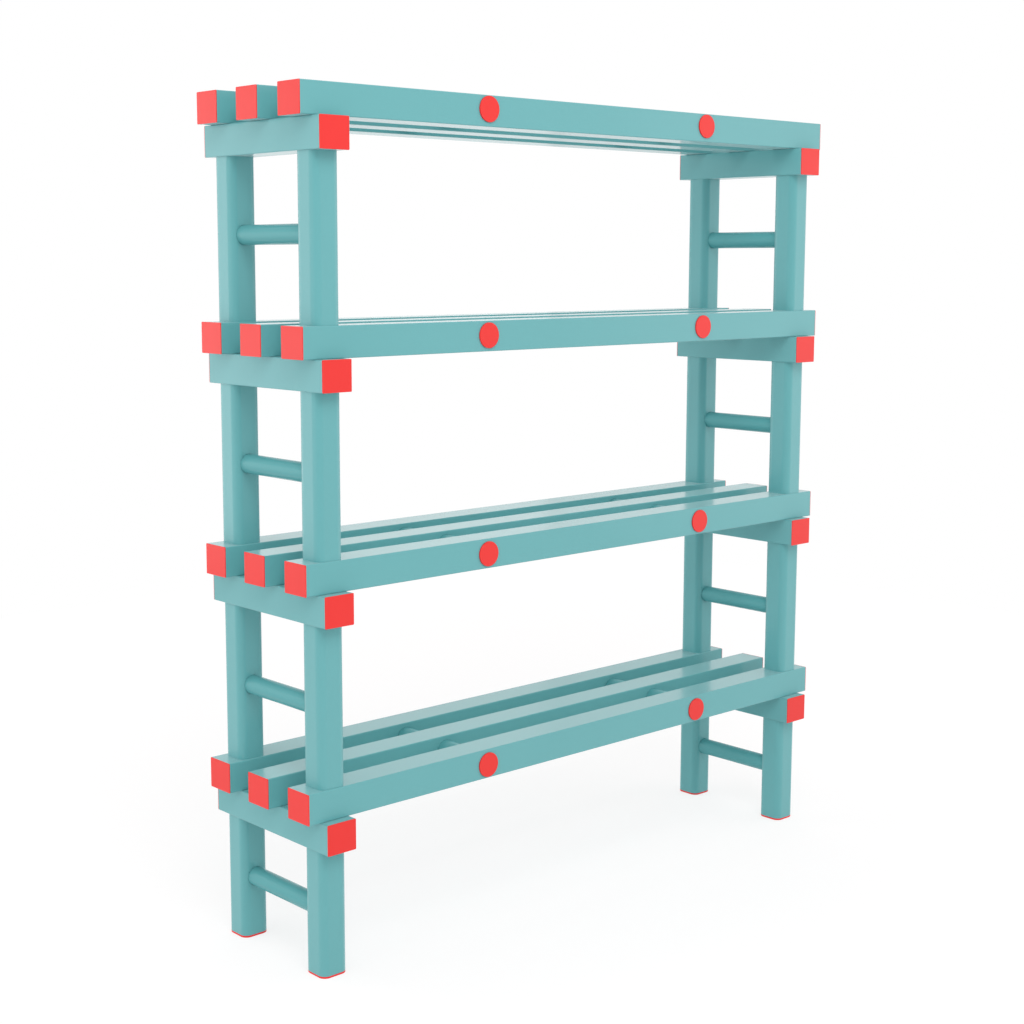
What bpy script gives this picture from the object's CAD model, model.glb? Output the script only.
import math

import bmesh
import bpy
from mathutils import Matrix, Vector


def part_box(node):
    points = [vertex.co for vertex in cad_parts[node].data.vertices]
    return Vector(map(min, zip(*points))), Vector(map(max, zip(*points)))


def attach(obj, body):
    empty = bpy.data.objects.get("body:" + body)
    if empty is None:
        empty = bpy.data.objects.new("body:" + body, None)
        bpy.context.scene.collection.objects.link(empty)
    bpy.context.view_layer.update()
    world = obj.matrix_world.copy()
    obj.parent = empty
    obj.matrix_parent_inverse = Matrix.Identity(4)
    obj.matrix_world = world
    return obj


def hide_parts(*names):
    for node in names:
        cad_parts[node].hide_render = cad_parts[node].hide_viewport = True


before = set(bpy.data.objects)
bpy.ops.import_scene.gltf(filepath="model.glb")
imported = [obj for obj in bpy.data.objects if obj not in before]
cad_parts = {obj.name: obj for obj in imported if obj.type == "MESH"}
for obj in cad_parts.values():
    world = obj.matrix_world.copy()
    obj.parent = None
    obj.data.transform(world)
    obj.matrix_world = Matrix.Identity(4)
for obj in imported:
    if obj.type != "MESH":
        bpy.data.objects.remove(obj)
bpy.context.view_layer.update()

mm = 0.001
tiers = ["tier_1", "tier_2", "tier_3", "tier_4"]

# the camera stands where the photograph was taken from
cameraView = {
    "place": (-2.5502, -2.6360, 1.3644),
    "turn": 0.72843,  # radians, from straight ahead towards the right-hand end
    "tilt": -0.13407,  # radians, below the level
    "lens": 59.2,
    "sensor": 36.0,
    "shift": (0.0394, -0.0244),
    "sightEnd": 80.0,
}


def addCamera(look):
    data = bpy.data.cameras.new("photoCamera")
    data.sensor_width = look["sensor"]
    data.lens = look["lens"]
    data.shift_x, data.shift_y = look["shift"]
    data.clip_end = look["sightEnd"]
    camera = bpy.data.objects.new("photoCamera", data)
    bpy.context.scene.collection.objects.link(camera)
    turn, tilt = look["turn"], look["tilt"]
    ahead = Vector((math.sin(turn) * math.cos(tilt), math.cos(turn) * math.cos(tilt), math.sin(tilt)))
    camera.location = look["place"]
    camera.rotation_euler = ahead.to_track_quat("-Z", "Y").to_euler()
    bpy.context.scene.camera = camera


class Wire:
    # one output socket that takes part in Python sums
    def __init__(self, graph, socket):
        self.graph = graph
        self.socket = socket

    def calc(self, operation, first, second):
        return self.graph.add("ShaderNodeMath", {"operation": operation}, {0: first, 1: second})

    def __add__(self, other):
        return self.calc("ADD", self, other)

    def __sub__(self, other):
        return self.calc("SUBTRACT", self, other)

    def __rsub__(self, other):
        return self.calc("SUBTRACT", other, self)

    def __mul__(self, other):
        return self.calc("MULTIPLY", self, other)

    __radd__ = __add__
    __rmul__ = __mul__


class Graph:
    # the node tree of one material or of the world
    def __init__(self, owner):
        owner.use_nodes = True
        self.tree = owner.node_tree
        self.tree.nodes.clear()

    def add(self, kind, settings=None, inputs=None, output=0):
        node = self.tree.nodes.new(kind)
        for name, value in (settings or {}).items():
            setattr(node, name, value)
        for name, value in (inputs or {}).items():
            if isinstance(value, Wire):
                self.tree.links.new(value.socket, node.inputs[name])
            else:
                node.inputs[name].default_value = value
        return Wire(self, node.outputs[output]) if len(node.outputs) else node

    def finish(self, kind, shader):
        self.add(kind, None, {"Surface": shader})


def noise(graph, where, scale, detail=2.0):
    return graph.add("ShaderNodeTexNoise", None, {"Vector": where, "Scale": scale, "Detail": detail})


def shade(graph, low, high, factor):
    return graph.add("ShaderNodeMix", {"data_type": "RGBA"},
                     {"Factor": factor, "A": low + (1.0,), "B": high + (1.0,)}, "Result")


# extruded teal plastic: faint clouds in the colour, drawing lines along the bar, a fine satin grain
tealLook = {
    "deep": (0.131, 0.406, 0.424),
    "pale": (0.141, 0.426, 0.444),
    "roughness": 0.20,
    "roughnessSpread": 0.04,
    "cloudScale": 3.5,
    "lineScale": 420.0,
    "lineDetail": 3.0,
    "lineStretch": 0.012,
    "grainScale": 1600.0,
    "lineDepth": 0.000006,
    "grainDepth": 0.000006,
    "ior": 1.36,
    "specular": 0.5,
    "bloom": 0.25,  # the pale film that polyethylene shows at a flat angle
    "bloomRoughness": 0.5,
}

# the round tubes are of the same plastic, a shade deeper and duller
roundLook = dict(tealLook, deep=(0.113, 0.372, 0.389), pale=(0.122, 0.390, 0.407),
                 specular=0.20, bloom=0.0)

# moulded coral plastic: finer grain, no lines
redLook = {
    "deep": (0.83, 0.033, 0.029),
    "pale": (0.87, 0.037, 0.033),
    "roughness": 0.30,
    "roughnessSpread": 0.04,
    "cloudScale": 9.0,
    "grainScale": 1900.0,
    "grainDepth": 0.00001,
    "ior": 1.35,
}


def tealPlastic(name, direction, look):
    material = bpy.data.materials.new(name)
    graph = Graph(material)
    where = graph.add("ShaderNodeTexCoord", None, None, "Object")
    stretch = [look["lineStretch"] if axis == direction else 1.0 for axis in "XYZ"]
    drawn = graph.add("ShaderNodeVectorMath", {"operation": "MULTIPLY"}, {0: where, 1: stretch})
    cloud = noise(graph, where, look["cloudScale"])
    lines = noise(graph, drawn, look["lineScale"], look["lineDetail"])
    grain = noise(graph, where, look["grainScale"])
    height = lines * look["lineDepth"] + grain * look["grainDepth"]
    relief = graph.add("ShaderNodeBump", None, {"Strength": 1.0, "Distance": 1.0, "Height": height})
    # each noise lies round 0.5, so the roughness keeps its mean
    shader = graph.add("ShaderNodeBsdfPrincipled", None, {
        "Base Color": shade(graph, look["deep"], look["pale"], cloud),
        "Roughness": look["roughness"] + (lines + grain - 1.0) * look["roughnessSpread"],
        "IOR": look["ior"],
        "Specular IOR Level": look["specular"],
        "Sheen Weight": look["bloom"],
        "Sheen Roughness": look["bloomRoughness"],
        "Normal": relief,
    })
    graph.finish("ShaderNodeOutputMaterial", shader)
    return material


def redPlastic(name, look):
    material = bpy.data.materials.new(name)
    graph = Graph(material)
    where = graph.add("ShaderNodeTexCoord", None, None, "Object")
    cloud = noise(graph, where, look["cloudScale"])
    grain = noise(graph, where, look["grainScale"])
    height = grain * look["grainDepth"]
    relief = graph.add("ShaderNodeBump", None, {"Strength": 1.0, "Distance": 1.0, "Height": height})
    shader = graph.add("ShaderNodeBsdfPrincipled", None, {
        "Base Color": shade(graph, look["deep"], look["pale"], cloud),
        "Roughness": look["roughness"] + (grain - 0.5) * (2 * look["roughnessSpread"]),
        "IOR": look["ior"],
        "Normal": relief,
    })
    graph.finish("ShaderNodeOutputMaterial", shader)
    return material


# teal tubes keep their CAD shape and take the finish whose lines run along them
tubeFinishes = {
    "slat": "tealAlongX",
    "bearer": "tealAlongY",
    "leg": "tealAlongZ",
    "rungs": "tealRound",
    "spacer_rods": "tealRound",
    "leg_connectors": "tealAlongZ",
}


def finishTubes(nodes):
    finishes = {
        "tealAlongX": tealPlastic("tealAlongX", "X", tealLook),
        "tealAlongY": tealPlastic("tealAlongY", "Y", tealLook),
        "tealAlongZ": tealPlastic("tealAlongZ", "Z", tealLook),
        "tealRound": tealPlastic("tealRound", "Y", roundLook),
    }
    for name, node in nodes.items():
        kinds = [kind for kind in tubeFinishes if name.endswith(kind)]
        if kinds:
            node.data.materials.clear()
            node.data.materials.append(finishes[tubeFinishes[kinds[0]]])


# caps

def roundedOutline(width, height, corner, steps):
    points = []
    for turn, (x, y) in enumerate([(1, 1), (-1, 1), (-1, -1), (1, -1)]):
        for step in range(steps + 1):
            angle = math.radians(90 * (turn + step / steps))
            points.append((x * (width / 2 - corner) + corner * math.cos(angle),
                           y * (height / 2 - corner) + corner * math.sin(angle)))
    return points


def roundOutline(diameter, steps):
    return [(diameter / 2 * math.cos(math.tau * i / steps), diameter / 2 * math.sin(math.tau * i / steps))
            for i in range(steps)]


def addLoft(mesh, rings, place):
    # closed skin through a stack of outlines, each with its height over the tube's end
    loops = [[mesh.verts.new(place @ Vector((x, y, height))) for x, y in outline]
             for outline, height in rings]
    for below, above in zip(loops, loops[1:]):
        for i in range(len(below)):
            j = (i + 1) % len(below)
            mesh.faces.new((below[i], below[j], above[j], above[i]))
    mesh.faces.new(list(reversed(loops[0])))
    mesh.faces.new(loops[-1])


def capRings(outline, shape, plate):
    # from the plug's floor round its rim to the seam and the plate's rounded edge;
    # outline(inset) gives the plate's outline, smaller by inset on every side
    rings = [
        (outline(shape["plugInset"] + shape["plugWall"]), -shape["floorDepth"]),
        (outline(shape["plugInset"] + shape["plugWall"]), -shape["plugDepth"]),
        (outline(shape["plugInset"]), -shape["plugDepth"]),
        (outline(shape["plugInset"]), 0.0),
        (outline(shape["seam"]), 0.0),
        (outline(0.0), shape["seam"]),
    ]
    for step in range(shape["edgeSteps"] + 1):
        angle = math.radians(90 * step / shape["edgeSteps"])
        rings.append((outline(shape["edge"] * (1 - math.cos(angle))),
                      plate - shape["edge"] * (1 - math.sin(angle))))
    # a last ring inside the rounding keeps the shading of the plate flat
    rings.append((outline(shape["edge"] + shape["rim"]), plate))
    return rings


def axes(across, up, out, centre):
    return Matrix.Translation(centre) @ Matrix((across, up, out)).transposed().to_4x4()


creaseAngle = math.radians(50)


def addPiece(name, mesh, material, body, node):
    data = bpy.data.meshes.new(name)
    bmesh.ops.recalc_face_normals(mesh, faces=mesh.faces)
    mesh.to_mesh(data)
    mesh.free()
    for face in data.polygons:
        face.use_smooth = True
    data.set_sharp_from_angle(angle=creaseAngle)
    data.materials.append(material)
    piece = bpy.data.objects.new(name, data)
    bpy.context.scene.collection.objects.link(piece)
    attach(piece, body)
    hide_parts(node)
    return piece


# caps in the ends of the slats and bearers
barCap = {
    "corner": 2.0 * mm,
    "leastCorner": 0.2 * mm,
    "cornerSteps": 6,
    "edge": 0.4 * mm,
    "edgeSteps": 4,
    "rim": 0.3 * mm,
    "seam": 0.2 * mm,
    "plugInset": 3.3 * mm,
    "plugWall": 2.5 * mm,
    "plugDepth": 12 * mm,
    "floorDepth": 0.5 * mm,
}

# red discs over the ends of the spacer rods
rodCap = {
    "steps": 96,
    "edge": 0.8 * mm,
    "edgeSteps": 4,
    "rim": 0.3 * mm,
    "seam": 0.2 * mm,
    "plugInset": 5.8 * mm,
    "plugWall": 2.5 * mm,
    "plugDepth": 12 * mm,
    "floorDepth": 0.5 * mm,
}

# caps under the legs of the lowest tier
footCap = {
    "corner": 15.5 * mm,
    "leastCorner": 0.2 * mm,
    "cornerSteps": 16,
    "edge": 0.8 * mm,
    "edgeSteps": 4,
    "rim": 0.3 * mm,
    "seam": 0.2 * mm,
    "plugInset": 4.3 * mm,
    "plugWall": 2.5 * mm,
    "plugDepth": 12 * mm,
    "floorDepth": 0.5 * mm,
}


def rectangleCap(width, height, shape):
    def outline(inset):
        corner = max(shape["corner"] - inset, shape["leastCorner"])
        return roundedOutline(width - 2 * inset, height - 2 * inset, corner, shape["cornerSteps"])
    return outline


def addSlatCaps(tier, red):
    node = tier + "_slat_end_caps"
    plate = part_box(node)[1].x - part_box(tier + "_front_slat")[1].x
    mesh = bmesh.new()
    for row in ("front", "middle", "back"):
        low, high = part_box(tier + "_" + row + "_slat")
        centre = (low + high) / 2
        rings = capRings(rectangleCap(high.y - low.y, high.z - low.z, barCap), barCap, plate)
        addLoft(mesh, rings, axes((0, 1, 0), (0, 0, 1), (1, 0, 0), (high.x, centre.y, centre.z)))
        addLoft(mesh, rings, axes((0, -1, 0), (0, 0, 1), (-1, 0, 0), (low.x, centre.y, centre.z)))
    addPiece(tier + "_slatCaps", mesh, red, tier, node)


def addBearerCaps(tier, red):
    node = tier + "_bearer_end_caps"
    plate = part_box(node)[1].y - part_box(tier + "_left_bearer")[1].y
    mesh = bmesh.new()
    for side in ("left", "right"):
        low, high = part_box(tier + "_" + side + "_bearer")
        centre = (low + high) / 2
        rings = capRings(rectangleCap(high.x - low.x, high.z - low.z, barCap), barCap, plate)
        addLoft(mesh, rings, axes((1, 0, 0), (0, 0, 1), (0, -1, 0), (centre.x, low.y, centre.z)))
        addLoft(mesh, rings, axes((-1, 0, 0), (0, 0, 1), (0, 1, 0), (centre.x, high.y, centre.z)))
    addPiece(tier + "_bearerCaps", mesh, red, tier, node)


def addRodCaps(tier, red):
    node = tier + "_rod_caps"
    rodLow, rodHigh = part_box(tier + "_spacer_rods")
    capLow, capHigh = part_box(node)
    rodRadius = (rodHigh.z - rodLow.z) / 2
    diameter = capHigh.z - capLow.z
    height = (capHigh.z + capLow.z) / 2

    def outline(inset):
        return roundOutline(diameter - 2 * inset, rodCap["steps"])

    rings = capRings(outline, rodCap, capHigh.y - rodHigh.y)
    mesh = bmesh.new()
    for x in (rodLow.x + rodRadius, rodHigh.x - rodRadius):
        addLoft(mesh, rings, axes((1, 0, 0), (0, 0, 1), (0, -1, 0), (x, rodLow.y, height)))
        addLoft(mesh, rings, axes((-1, 0, 0), (0, 0, 1), (0, 1, 0), (x, rodHigh.y, height)))
    addPiece(tier + "_rodCaps", mesh, red, tier, node)


def addFootCaps(tier, red):
    node = tier + "_foot_caps"
    mesh = bmesh.new()
    for corner in ("front_left", "front_right", "back_left", "back_right"):
        low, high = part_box(tier + "_" + corner + "_leg")
        centre = (low + high) / 2
        rings = capRings(rectangleCap(high.x - low.x, high.y - low.y, footCap), footCap, low.z)
        addLoft(mesh, rings, axes((1, 0, 0), (0, -1, 0), (0, 0, -1), (centre.x, centre.y, low.z)))
    addPiece(tier + "_footCaps", mesh, red, tier, node)


# floor, world and lamps

room = {
    "floorSize": 6.6,
    "floorDrop": 0.3 * mm,
    "floorColour": (0.80, 0.80, 0.80),
    "seenFloorColour": (0.29, 0.28, 0.28),  # what the camera sees of the shadows on the floor
    "seenFloorLift": 0.735,
    "glossFloorLift": 0.38,
    "skyLevel": 0.80,
    "seenSkyLevel": 1.0,
    "glossSkyLevel": 0.88,
}

# square panels round the object: azimuth from the X axis in degrees, and how bright each is
sidePanels = {
    "distance": 5.0,
    "height": 1.3,
    "aimHeight": 1.1,
    "size": 2.6,
    "levels": {30: 0.19, 60: 0.35, 120: 1.7, 150: 0.54, 180: 0.70, 300: 0.3, 330: 1.02},
}

highPanel = {
    "distance": 3.6,
    "height": 4.4,
    "aimHeight": 0.8,
    "size": 2.6,
    "levels": {240: 3.78},
}


def lightPath(graph, kind):
    return graph.add("ShaderNodeLightPath", None, None, kind)


def addWorld(look):
    world = bpy.data.worlds.new("paleStudio")
    bpy.context.scene.world = world
    graph = Graph(world)
    camera = lightPath(graph, "Is Camera Ray") * (look["seenSkyLevel"] - look["skyLevel"])
    glossy = lightPath(graph, "Is Glossy Ray") * (look["glossSkyLevel"] - look["skyLevel"])
    level = look["skyLevel"] + (camera + glossy)
    graph.finish("ShaderNodeOutputWorld",
                 graph.add("ShaderNodeBackground", None, {"Color": (1, 1, 1, 1), "Strength": level}))


def addFloor(look):
    half = look["floorSize"] / 2
    corners = [(-half, -half, 0), (half, -half, 0), (half, half, 0), (-half, half, 0)]
    data = bpy.data.meshes.new("floor")
    data.from_pydata(corners, [], [(0, 1, 2, 3)])
    floor = bpy.data.objects.new("floor", data)
    floor.location.z = -look["floorDrop"]
    bpy.context.scene.collection.objects.link(floor)
    material = bpy.data.materials.new("paleFloor")
    graph = Graph(material)
    camera = lightPath(graph, "Is Camera Ray")
    glossy = lightPath(graph, "Is Glossy Ray")
    matt = graph.add("ShaderNodeBsdfDiffuse", None,
                     {"Color": shade(graph, look["floorColour"], look["seenFloorColour"], camera)})
    lift = graph.add("ShaderNodeEmission", None,
                     {"Strength": camera * look["seenFloorLift"] + glossy * look["glossFloorLift"]})
    graph.finish("ShaderNodeOutputMaterial", graph.add("ShaderNodeAddShader", None, {0: matt, 1: lift}))
    data.materials.append(material)


def addPanels(name, look):
    distance = look["distance"]
    for azimuth, level in look["levels"].items():
        turn = math.radians(azimuth)
        data = bpy.data.lights.new(name + str(azimuth), "AREA")
        data.size = look["size"]
        data.energy = level * math.pi * look["size"] ** 2
        lamp = bpy.data.objects.new(data.name, data)
        lamp.location = (distance * math.cos(turn), distance * math.sin(turn), look["height"])
        aim = Vector((0, 0, look["aimHeight"])) - lamp.location
        lamp.rotation_euler = aim.to_track_quat("-Z", "Y").to_euler()
        bpy.context.scene.collection.objects.link(lamp)


bpy.context.scene.view_settings.view_transform = "Standard"
addCamera(cameraView)
print("camera placed")

finishTubes(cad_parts)
print("tubes finished")

redFinish = redPlastic("redPlastic", redLook)
for tier in tiers:
    addSlatCaps(tier, redFinish)
    addBearerCaps(tier, redFinish)
    addRodCaps(tier, redFinish)
addFootCaps(tiers[0], redFinish)
print("caps made")

addWorld(room)
addFloor(room)
addPanels("side", sidePanels)
addPanels("high", highPanel)
print("floor and light set")
